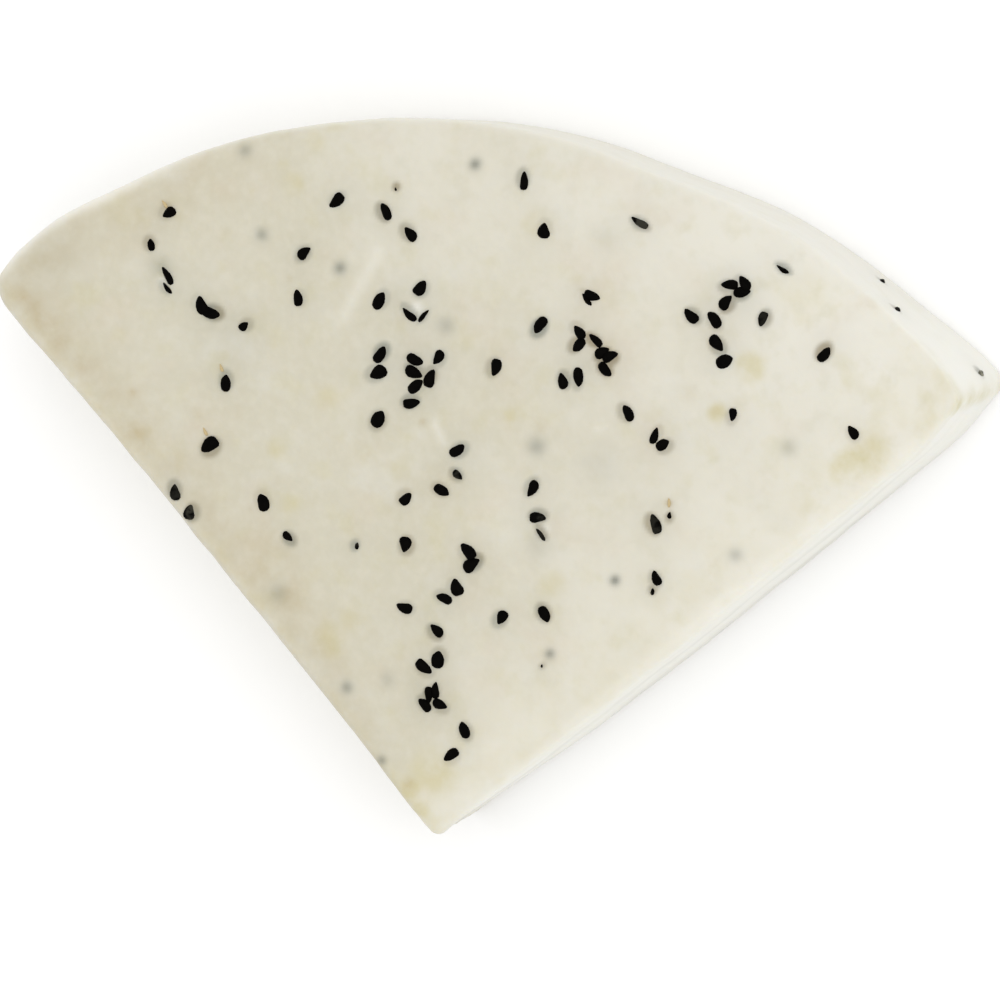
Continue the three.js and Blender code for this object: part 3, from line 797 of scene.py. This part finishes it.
def ridge_and_bend(seed, ridges, turn, bend):
    """In edit mode, give a seed its ridges and dents, and bend it to one side."""
    mesh = bmesh.from_edit_mesh(seed.data)
    for vertex in mesh.verts:
        around = math.atan2(vertex.co.z, vertex.co.x)
        ridge = SEED_RIDGE * math.cos(ridges * around + turn)
        dent = SEED_DENT * math.sin(2 * around + 9 * vertex.co.y + 3 * turn)
        aside = bend * (1 - 4 * vertex.co.y**2)
        pinch = 1 + ridge + dent
        vertex.co = Vector((vertex.co.x * pinch + aside, vertex.co.y, vertex.co.z * pinch))
    bmesh.update_edit_mesh(seed.data)


def model_seed(profile, ridges, turn, bend):
    """One seed about the origin, its point along +Y: a ball drawn out, ridged, dented and bent."""
    clear_selection()
    bpy.ops.mesh.primitive_uv_sphere_add(segments=SEED_SEGMENTS, ring_count=SEED_RINGS, radius=0.5)
    seed = bpy.context.object
    bpy.ops.object.mode_set(mode="EDIT")
    bpy.ops.transform.rotate(value=math.pi / 2, orient_axis="X", center_override=(0, 0, 0))
    draw_out(seed, profile)
    ridge_and_bend(seed, ridges, turn, bend)
    bpy.ops.mesh.select_all(action="SELECT")
    size = (SEED_WIDTH * MM, SEED_LENGTH * MM, SEED_HEIGHT * MM)
    bpy.ops.transform.resize(value=size, center_override=(0, 0, 0))
    bpy.ops.mesh.normals_make_consistent(inside=False)
    bpy.ops.object.mode_set(mode="OBJECT")
    points = read_points(seed.data)
    faces = [list(face.vertices) for face in seed.data.polygons]
    bpy.data.objects.remove(seed)
    return points, faces


def surface_at(tree, point, normal):
    """Where a ray comes down on the curd from outside, and the curd's own normal there."""
    reach = 10 * MM
    place, own_normal, _, _ = tree.ray_cast(point + normal * reach, -normal, 2 * reach)
    return (place, own_normal) if place else (point, normal)


def strand_places(strands, shift, draws):
    """Every seed of the strands: a point, an outward normal, the way its tip points, and its looks."""
    for first, last, count, turns, looks in strands:
        for i in range(count):
            share = i / (count - 1) if count > 1 else 0
            place = first + (last - first) * share
            place += complex(draws.spread(SEED_PLACE_SPREAD), draws.spread(SEED_PLACE_SPREAD))
            turn = math.radians(turns[0] + (turns[1] - turns[0]) * share)
            way = heading(turn + math.pi / 2)
            point = space(place, THICKNESS) + shift
            yield point, Vector((0, 0, 1)), Vector((way.real, way.imag, 0)), looks


def wall_place(shift, point, outward, height, turn, looks):
    """A seed in a wall: at a point of the outline and a height, with the wall's outward angle."""
    place = lean(uneven_outline(point), height / THICKNESS)
    out = heading(outward)
    level = heading(outward + math.pi / 2)
    rise = turn - outward
    way = Vector((level.real, level.imag, 0)) * math.cos(rise) + Vector((0, 0, math.sin(rise)))
    return space(place, height) + shift, Vector((out.real, out.imag, 0)), way, looks


def on_rind(angle):
    """A plan point of the round rind."""
    return WHEEL_CENTRE + heading(angle, WHEEL_RADIUS)


def wall_places(shift, draws):
    """Seeds in the rind near the right corner, then those scattered over the left cut and left rind."""
    for angle, turn, height, film in RIND_SEEDS:
        outward = math.radians(angle)
        looks = {**SLENDER, "film": film}
        yield wall_place(shift, on_rind(outward), outward, height, math.radians(turn), looks)

    def scattered(count):
        for i in range(count):
            share = (i + 0.5 + draws.spread(WALL_PLACE_SPREAD)) / count
            height = WALL_LOW + (WALL_HIGH - WALL_LOW) * draws.random()
            yield share, height, draws.spread(math.pi)

    length = abs(LEFT_CORNER) - 2 * WALL_MARGIN
    for share, height, turn in scattered(LEFT_CUT_SEEDS):
        point = heading(LEFT_CUT, WALL_MARGIN + length * share)
        yield wall_place(shift, point, LEFT_INWARD + math.pi, height, turn, {})
    end = rim_angle(LEFT_CORNER) - WALL_MARGIN / WHEEL_RADIUS
    for share, height, turn in scattered(LEFT_RIND_SEEDS):
        angle = LEFT_RIND_START + (end - LEFT_RIND_START) * share
        yield wall_place(shift, on_rind(angle), angle, height, turn, {})


def base_places(shift, draws):
    """Seeds flush with the underside, spread evenly by the golden angle and nudged."""
    golden = math.pi * (3 - math.sqrt(5))
    for i in range(BASE_SEEDS):
        place = HEART + heading(i * golden, BASE_SPREAD * math.sqrt((i + 0.5) / BASE_SEEDS))
        place += complex(draws.spread(BASE_NUDGE), draws.spread(BASE_NUDGE))
        inside_rind = WHEEL_RADIUS - abs(place - WHEEL_CENTRE)
        clear = min(along(place, RIGHT_INWARD), along(place, LEFT_INWARD), inside_rind)
        way = heading(draws.spread(math.pi))
        if clear > WALL_MARGIN / 2:
            looks = {"proud": BASE_PROUD}
            yield space(place) + shift, Vector((0, 0, -1)), Vector((way.real, way.imag, 0)), looks


def all_places(shift, draws):
    """The seeds of the solid in its order of draws, then those flush with the base, then the crumbs."""
    yield from strand_places(STRANDS, shift, draws)
    yield from wall_places(shift, draws)
    yield from base_places(shift, draws)
    yield from strand_places(CRUMBS, shift, draws)


def settle_seeds(wedge, shift):
    """Set every seed on the curd: its middle, its three axes scaled to its size, and its looks."""
    tree = BVHTree.FromObject(wedge, bpy.context.evaluated_depsgraph_get())
    draws = Draws(SEED_DRAWS)
    settled = []
    for point, normal, way, looks in all_places(shift, draws):
        place, own_normal = surface_at(tree, point, normal)
        long_axis = (way - own_normal * way.dot(own_normal)).normalized()
        side = long_axis.cross(own_normal)
        size = looks.get("size", 1) * (1 + draws.spread(SEED_SIZE_SPREAD))
        sunk = place + own_normal * size * (looks.get("proud", SEED_PROUD) - SEED_HEIGHT / 2) * MM
        axes = np.array([side * size * looks.get("width", 1), long_axis * size, own_normal * size])
        settled.append((np.array(sunk), axes, looks))
    return settled


def model_seeds(settled):
    """All seeds as one mesh, each a copy of one of a few modelled seeds."""
    kinds = [model_seed(*kind) for kind in SEED_KINDS]
    points, faces, total = [], [], 0
    painted = {"film": [], "husk": []}
    for number, (middle, axes, looks) in enumerate(settled):
        kind_points, kind_faces = kinds[number % len(kinds)]
        points.append(middle + kind_points @ axes)
        faces += [[index + total for index in face] for face in kind_faces]
        for name, values in painted.items():
            values.append(np.full(len(kind_points), looks.get(name, 0)))
        total += len(kind_points)
    mesh = bpy.data.meshes.new("nigella_seeds")
    mesh.from_pydata(np.vstack(points).tolist(), [], faces)
    for name, values in painted.items():
        paint(mesh, name, np.concatenate(values))
    mesh.shade_smooth()
    seeds = bpy.data.objects.new("nigella_seeds", mesh)
    bpy.context.scene.collection.objects.link(seeds)
    return seeds


def seed_shade(points, settled):
    """How much seeds darken each point of the curd: close beside each, and faintly round clusters."""
    draws = Draws(SHADE_DRAWS)
    close = np.zeros(len(points))
    cluster = np.zeros(len(points))
    half = np.array([SEED_WIDTH, SEED_LENGTH, SEED_HEIGHT]) * MM / 2
    for middle, axes, looks in settled:
        strength = HALO_LEAST + (HALO_MOST - HALO_LEAST) * draws.random()
        aside = heading(draws.spread(math.pi), HALO_ASIDE * MM)
        if looks.get("film"):
            strength = FILM_HALO
        if "husk" in looks:
            continue
        away = points - middle - (aside.real, aside.imag, 0)
        near = np.einsum("ij,ij->i", away, away) < (CLUSTER_LIMIT * MM) ** 2
        own = away[near] @ (axes / np.sum(axes**2, axis=1)[:, None]).T / half
        reach = np.linalg.norm(own, axis=1)
        share_outside = np.maximum(0, 1 - HALO_START / np.maximum(reach, 0.1))
        outside = np.linalg.norm(away[near], axis=1) * share_outside / MM
        close[near] = np.maximum(close[near], strength * bell(outside, HALO_WIDTH))
        cluster[near] += CLUSTER_SHADE * bell(outside, CLUSTER_REACH)
    return np.maximum(close, np.minimum(cluster, CLUSTER_MOST))


def blot(x, width):
    """A flat-topped bell, as a stain that has spread to an edge."""
    return np.exp(-((x / width) ** 4))


def spots(plan, places, shape):
    """Spots of a shape at places in the plan, each with its radius and strength."""
    return sum(strength * shape(abs(plan - complex(x, y)), radius) for x, y, radius, strength in places)


def rim_distance(plan):
    """How far each point lies inside the outline."""
    outline = outline_points()
    tree = KDTree(len(outline))
    for index, point in enumerate(outline):
        tree.insert((point.real, point.imag, 0), index)
    tree.balance()
    return np.array([tree.find((point.real, point.imag, 0))[2] for point in plan])


class CurdPoints:
    """Where each vertex of the curd lies: in the plan, inside the rim, round the wheel, on which face."""

    def __init__(self, mesh, shift):
        self.points = read_points(mesh)
        self.plan = ((self.points[:, 0] - shift.x) + 1j * (self.points[:, 1] - shift.y)) / MM
        self.height = self.points[:, 2] / MM
        self.rim = rim_distance(self.plan)
        self.around = np.angle(self.plan - WHEEL_CENTRE)
        self.from_right_cut = along(self.plan, RIGHT_INWARD)
        self.on_right_cut = bell(self.from_right_cut, CUT_REACH)
        self.on_left_cut = bell(along(self.plan, LEFT_INWARD), CUT_REACH)
        self.on_top = smoothstep(self.height, *TOP_HEIGHTS)
        self.wall = 1 - smoothstep(abs(read_normals(mesh)[:, 2]), *WALL_NORMALS)


def fat_share(curd):
    """Butterfat: stains, a band beside the right cut, a little along the left cut, and the right corner."""
    near_corner = bell(abs(curd.plan - RIGHT_CORNER), CORNER_FAT_REACH)
    corner = CORNER_FAT * near_corner * bell(curd.rim - CORNER_FAT_INSET, CORNER_FAT_WIDTH)
    cream = CUT_CREAM * bell(curd.from_right_cut - CUT_CREAM_INSET, CUT_CREAM_WIDTH)
    left_cut = LEFT_CUT_FAT * curd.on_left_cut * bell(curd.rim - LEFT_CUT_FAT_INSET, LEFT_CUT_FAT_WIDTH)
    corner_edge = lean(CORNER_TIP, np.clip(curd.height / THICKNESS, 0, 1))
    edge = CORNER_EDGE_FAT * curd.wall * bell(abs(curd.plan - corner_edge), CORNER_EDGE_WIDTH)
    return curd.on_top * (spots(curd.plan, STAINS, blot) + corner + cream + left_cut) + edge


def ochre_share(curd):
    """Ochre: small marks, the browned left corner and the browner left part along the rind."""
    near_browned = bell(abs(curd.plan - BROWNED_CORNER), BROWNED_REACH)
    browned = BROWNED * near_browned * bell(curd.rim - BROWNED_INSET, BROWNED_WIDTH)
    left_rind = smoothstep(curd.around, RIND_BROWN_START, RIND_BROWN_FULL)
    rind = RIND_BROWN * left_rind * bell(curd.rim - RIND_BROWN_INSET, RIND_BROWN_WIDTH)
    return curd.on_top * (spots(curd.plan, OCHRES, bell) + browned + rind)


def pale_and_painted_light_share(curd):
    """How pale the curd is: more to the right as painted light, at the middle of the rind and along its
    upper right.
    """
    # Painted light: paler towards the right, as if lit from that side
    painted_light_across = (curd.plan.real - PAINTED_LIGHT_FROM) / (PAINTED_LIGHT_TO - PAINTED_LIGHT_FROM)
    rind = PALE_RIND * bell(abs(curd.plan - PALE_RIND_PLACE), PALE_RIND_REACH)
    on_shoulder = 1 - smoothstep(curd.around, *PALE_SHOULDER_RIND)
    return painted_light_across + rind + PALE_SHOULDER * on_shoulder * bell(curd.rim, PALE_SHOULDER_WIDTH)


def highlight_and_white_share(curd):
    """Painted highlights on the left rim and on the roll and edge at the right cut, and white creases and
    thin skins.
    """
    # Painted highlights: the left rim, the roll near the tip and the edge of the right cut
    rim_highlight_strength = 1 - (1 - LEFT_CUT_RIM_HIGHLIGHT) * curd.on_left_cut
    left_rim_highlight = smoothstep(curd.around, RIM_HIGHLIGHT_START, RIM_HIGHLIGHT_FULL) * rim_highlight_strength * bell(curd.rim, RIM_HIGHLIGHT_WIDTH)
    near_tip = bell(along(curd.plan, RIGHT_CUT), ROLL_LENGTH)
    roll = ROLL_HIGHLIGHT * bell(curd.from_right_cut, ROLL_HIGHLIGHT_WIDTH) * near_tip
    cut_edge_highlight = CUT_EDGE_HIGHLIGHT * bell(curd.from_right_cut, CUT_EDGE_HIGHLIGHT_WIDTH)
    creases = CREASE_PALE * crease_depth(curd.plan)
    return curd.on_top * np.max([left_rim_highlight, roll, cut_edge_highlight, creases, spots(curd.plan, SKINS, bell)], axis=0)


def white_wall_and_painted_light_share(curd):
    """White walls, partly whiter curd and partly painted light: the right cut and the rind, but not the
    left cut.
    """
    # Whiter curd and painted light: full on the right cut and the rind beside it, half on the rest of the
    # rind, none on the left cut
    rind = RIND_WHITE + (1 - RIND_WHITE) * (1 - smoothstep(curd.around, *WHITE_RIND))
    return curd.wall * np.maximum(curd.on_right_cut, rind) * (1 - curd.on_left_cut)


def line_and_painted_shade_share(curd):
    """Grey: a line along the right cut, and painted shade at its foot and along the upper edge of the left
    cut.
    """
    # A grey line on the right cut, and painted shade that darkens its foot
    lines = sum(strength * bell(curd.height - at, width) for at, width, strength in CUT_LINE_AND_FOOT_SHADE)
    off_corner = 1 - bell(abs(curd.plan - RIGHT_CORNER), CUT_LINE_AND_FOOT_SHADE_FADE)
    # Painted shade: a thin grey line along the upper edge of the left cut
    off_tip = 1 - bell(abs(curd.plan), SHADED_EDGE_START)
    at_edge = bell(curd.height - SHADED_EDGE_HEIGHT, SHADED_EDGE_WIDTH)
    shaded_edge = SHADED_EDGE * curd.on_left_cut * off_tip * at_edge
    return curd.wall * curd.on_right_cut * lines * off_corner + shaded_edge


def paint_curd(wedge, settled, shift):
    """Store every tint of the curd in its mesh."""
    mesh = wedge.data
    curd = CurdPoints(mesh, shift)
    paint(mesh, "seed_shade", seed_shade(curd.points, settled))
    paint(mesh, "buried_seed", curd.on_top * spots(curd.plan, BURIED, bell))
    paint(mesh, "butterfat", fat_share(curd))
    paint(mesh, "ochre", ochre_share(curd))
    # Partly painted light: the curd is paler towards the right
    paint(mesh, "pale", pale_and_painted_light_share(curd))
    # Painted highlights on the left rim and at the right cut, with white creases and skins
    paint(mesh, "white", highlight_and_white_share(curd))
    # Whiter walls, partly painted light on the right cut and the rind
    paint(mesh, "wall", white_wall_and_painted_light_share(curd))
    # A grey line on the right cut, and painted shade at its foot and along the left cut's upper edge
    paint(mesh, "grey_line_and_painted_shade", line_and_painted_shade_share(curd))


def linear(code):
    """An sRGB hex colour as linear red, green, blue and alpha."""
    parts = [int(code[i:i + 2], 16) / 255 for i in (1, 3, 5)]
    return [p / 12.92 if p <= 0.04045 else ((p + 0.055) / 1.055) ** 2.4 for p in parts] + [1.0]


def add_node(tree, kind, inputs=None, **settings):
    """Add a node with its settings; an input is a value, or another node's output to link from."""
    node = tree.nodes.new(kind)
    for name, value in settings.items():
        setattr(node, name, value)
    for name, value in (inputs or {}).items():
        if isinstance(value, bpy.types.NodeSocket):
            tree.links.new(value, node.inputs[name])
        else:
            node.inputs[name].default_value = value
    return node


def new_material(name):
    """An empty node material and its tree."""
    material = bpy.data.materials.new(name)
    material.use_nodes = True
    material.node_tree.nodes.clear()
    return material, material.node_tree


def tint(tree, under, over, mask, low=0.0, high=1.0, strength=1.0):
    """Lay a colour over another where a mask rises from low to high, by a strength at most."""
    ranges = {"Value": mask, "From Min": low, "From Max": high, "To Max": strength}
    share = add_node(tree, "ShaderNodeMapRange", ranges).outputs["Result"]
    # In a mix of colours, inputs 6 and 7 are the colours and output 2 is the result
    laid = add_node(tree, "ShaderNodeMix", {0: share, 6: under, 7: over}, data_type="RGBA")
    return laid.outputs[2]


def per_metre(size_mm):
    """The texture scale that gives lumps of a real size."""
    return 1 / (size_mm * MM)


def curd_masks(tree, place):
    """The curd's patterns and painted tints by name, each as a share of the surface."""
    masks = {}
    for name, (size, detail, layer) in CURD_PATTERNS.items():
        inputs = {"Vector": place, "W": layer, "Scale": per_metre(size), "Detail": detail}
        masks[name] = add_node(tree, "ShaderNodeTexNoise", inputs, noise_dimensions="4D").outputs["Fac"]
    for name in PAINTED_TINTS:
        masks[name] = add_node(tree, "ShaderNodeAttribute", attribute_name=name).outputs["Fac"]
    inputs = {"Value": masks["ragged_edges"], "From Min": 0.35, "From Max": 0.65, "To Min": 0.25}
    ragged = add_node(tree, "ShaderNodeMapRange", inputs).outputs["Result"]
    for name in RAGGED_TINTS:
        inputs = {0: masks[name], 1: ragged}
        broken = add_node(tree, "ShaderNodeMath", inputs, operation="MULTIPLY", use_clamp=True)
        masks[name] = broken.outputs["Value"]
    return masks


def curd_colour(tree, masks):
    """Ivory that pales by a painted share, partly painted light, and by clouds, with the layers and the
    shade of seeds over it.
    """
    inputs = {"Value": masks["clouds"], "From Min": 0.35, "From Max": 0.65, "To Min": -0.12, "To Max": 0.12}
    clouded = add_node(tree, "ShaderNodeMapRange", inputs).outputs["Result"]
    inputs = {0: masks["pale"], 1: clouded}
    pale = add_node(tree, "ShaderNodeMath", inputs, operation="ADD", use_clamp=True).outputs["Value"]
    colour = tint(tree, linear("#C7C2AF"), linear("#DBD8CD"), pale)
    for name, low, high, strength, over in CURD_LAYERS:
        colour = tint(tree, colour, linear(over), masks[name], low, high, strength)
    shadow = tint(tree, linear("#75796F"), linear("#827353"), masks["shadow_hues"], 0.4, 0.6)
    return tint(tree, colour, shadow, masks["seed_shade"])


def pressed_curd():
    """Pressed white curd: ivory, softly mottled and a little moist, and light sinks in under its surface.

    The eye gets a pale matt face with cloudy patches, fine grains of curd, yellower fat stains with ragged
    edges, ochre marks, grey shadows of seeds that lie just under the surface, and whiter walls. Painted
    light
    and shade are laid in too: the face pales towards the right, painted highlights run along the rims, the
    walls' white is partly painted light, and painted shade darkens the foot of the right cut and the upper
    edge of the left cut.
    """
    material, tree = new_material("pressed_curd")
    place = add_node(tree, "ShaderNodeTexCoord").outputs["Object"]
    masks = curd_masks(tree, place)
    moist = {"Value": masks["clouds"], "From Min": 0.3, "From Max": 0.7, "To Min": 0.5, "To Max": 0.62}
    grainy = {"Strength": 0.2, "Distance": 0.12 * MM, "Height": masks["fine_grain"]}
    shader = add_node(tree, "ShaderNodeBsdfPrincipled", {
        "Base Color": curd_colour(tree, masks),
        "Roughness": add_node(tree, "ShaderNodeMapRange", moist).outputs["Result"],
        "Normal": add_node(tree, "ShaderNodeBump", grainy).outputs["Normal"],
        "Specular IOR Level": 0.3,
        "Subsurface Weight": 0.25,
        "Subsurface Radius": (1.0, 0.8, 0.5),
        "Subsurface Scale": 1.6 * MM,
    })
    add_node(tree, "ShaderNodeOutputMaterial", {"Surface": shader.outputs["BSDF"]})
    return material


def seed_coat():
    """Nigella seed coat: dry, near black and finely wrinkled, so it only glints along its ridges."""
    material, tree = new_material("nigella_seed_coat")
    place = add_node(tree, "ShaderNodeTexCoord").outputs["Object"]
    cells = {"Vector": place, "Scale": per_metre(0.35)}
    wrinkles = add_node(tree, "ShaderNodeTexVoronoi", cells, feature="DISTANCE_TO_EDGE").outputs["Distance"]
    browns = add_node(tree, "ShaderNodeTexNoise", {"Vector": place, "Scale": per_metre(1.5)})
    smears = add_node(tree, "ShaderNodeTexNoise", {"Vector": place, "Scale": per_metre(1.2)})
    film = add_node(tree, "ShaderNodeAttribute", attribute_name="film")
    husk = add_node(tree, "ShaderNodeAttribute", attribute_name="husk")
    coat = tint(tree, linear("#010101"), linear("#0A0806"), browns.outputs["Fac"])
    coat = tint(tree, coat, linear("#8A8878"), smears.outputs["Fac"], 0.4, 0.6, film.outputs["Fac"])
    coat = tint(tree, coat, linear("#BFAC83"), husk.outputs["Fac"])
    wrinkled = {"Strength": 0.4, "Distance": 0.05 * MM, "Height": wrinkles}
    shader = add_node(tree, "ShaderNodeBsdfPrincipled", {
        "Base Color": coat,
        "Roughness": 0.55,
        "Normal": add_node(tree, "ShaderNodeBump", wrinkled).outputs["Normal"],
        "Specular IOR Level": 0.02,
    })
    add_node(tree, "ShaderNodeOutputMaterial", {"Surface": shader.outputs["BSDF"]})
    return material


def studio_paper():
    """Matt white background paper, faintly uneven in tone."""
    material, tree = new_material("studio_paper")
    place = add_node(tree, "ShaderNodeTexCoord").outputs["Object"]
    tone = add_node(tree, "ShaderNodeTexNoise", {"Vector": place, "Scale": per_metre(400)})
    white = tint(tree, linear("#FAFAFA"), linear("#FCFCFC"), tone.outputs["Fac"])
    shader = add_node(tree, "ShaderNodeBsdfPrincipled", {"Base Color": white, "Roughness": 0.9})
    add_node(tree, "ShaderNodeOutputMaterial", {"Surface": shader.outputs["BSDF"]})
    return material


def lay_floor():
    """A wide paper floor under the part."""
    clear_selection()
    bpy.ops.mesh.primitive_plane_add(size=FLOOR_SIZE)
    floor = bpy.context.object
    floor.name = floor.data.name = "studio_floor"
    floor.data.materials.append(studio_paper())


def add_key_light(target):
    """A broad square light from above that faces a point."""
    light = bpy.data.lights.new("key_light", "AREA")
    light.shape = "SQUARE"
    light.size = KEY_SIZE
    light.energy = KEY_POWER
    lamp = bpy.data.objects.new("key_light", light)
    lamp.location = KEY_PLACE
    lamp.rotation_euler = (target - Vector(KEY_PLACE)).to_track_quat("-Z", "Y").to_euler()
    bpy.context.scene.collection.objects.link(lamp)


def light_studio(target):
    """Soft light from above in an even white room."""
    add_key_light(target)
    world = bpy.data.worlds.new("white_room")
    world.use_nodes = True
    room = world.node_tree.nodes["Background"]
    room.inputs["Color"].default_value = (1, 1, 1, 1)
    room.inputs["Strength"].default_value = ROOM_STRENGTH
    bpy.context.scene.world = world
    bpy.context.scene.view_settings.view_transform = "Standard"


def place_camera(shift):
    """The camera at the photo's viewing angle."""
    lens = bpy.data.cameras.new("camera")
    lens.lens = LENS
    lens.sensor_width = SENSOR_WIDTH
    camera = bpy.data.objects.new("camera", lens)
    right, up = Vector(CAMERA_RIGHT), Vector(CAMERA_UP)
    back = right.cross(up)
    turned = Matrix((right, up, back)).transposed().to_4x4()
    camera.matrix_world = Matrix.Translation(Vector(CAMERA_PLACE) * MM + shift) @ turned
    bpy.context.scene.collection.objects.link(camera)
    bpy.context.scene.camera = camera


def plan_shift():
    """From the plan's place to the frame's: the low corners of the walls' box and the node's box meet."""
    outline = outline_points()
    walls = np.concatenate([lean(outline, level) for level in (0, 1 - TOP_EDGE_RADIUS / THICKNESS)])
    low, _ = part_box("cheese_wedge")
    return Vector((low.x - walls.real.min() * MM, low.y - walls.imag.min() * MM, low.z))


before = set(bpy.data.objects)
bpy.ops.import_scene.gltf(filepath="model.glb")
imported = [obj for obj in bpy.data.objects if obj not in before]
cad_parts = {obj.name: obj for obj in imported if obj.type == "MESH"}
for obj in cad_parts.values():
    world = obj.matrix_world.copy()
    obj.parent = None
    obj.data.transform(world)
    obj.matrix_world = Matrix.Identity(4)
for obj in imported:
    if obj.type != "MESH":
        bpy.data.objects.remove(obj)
cad_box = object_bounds()
shift = plan_shift()

curd = model_wedge(shift)
settled = settle_seeds(curd, shift)
seeds = model_seeds(settled)
paint_curd(curd, settled, shift)
curd.data.materials.append(pressed_curd())
seeds.data.materials.append(seed_coat())
for piece, slot in ((curd, "cheese"), (seeds, "nigella_seed")):
    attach(piece, "root")
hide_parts("cheese_wedge")

lay_floor()
light_studio((cad_box[0] + cad_box[1]) / 2)
place_camera(shift)
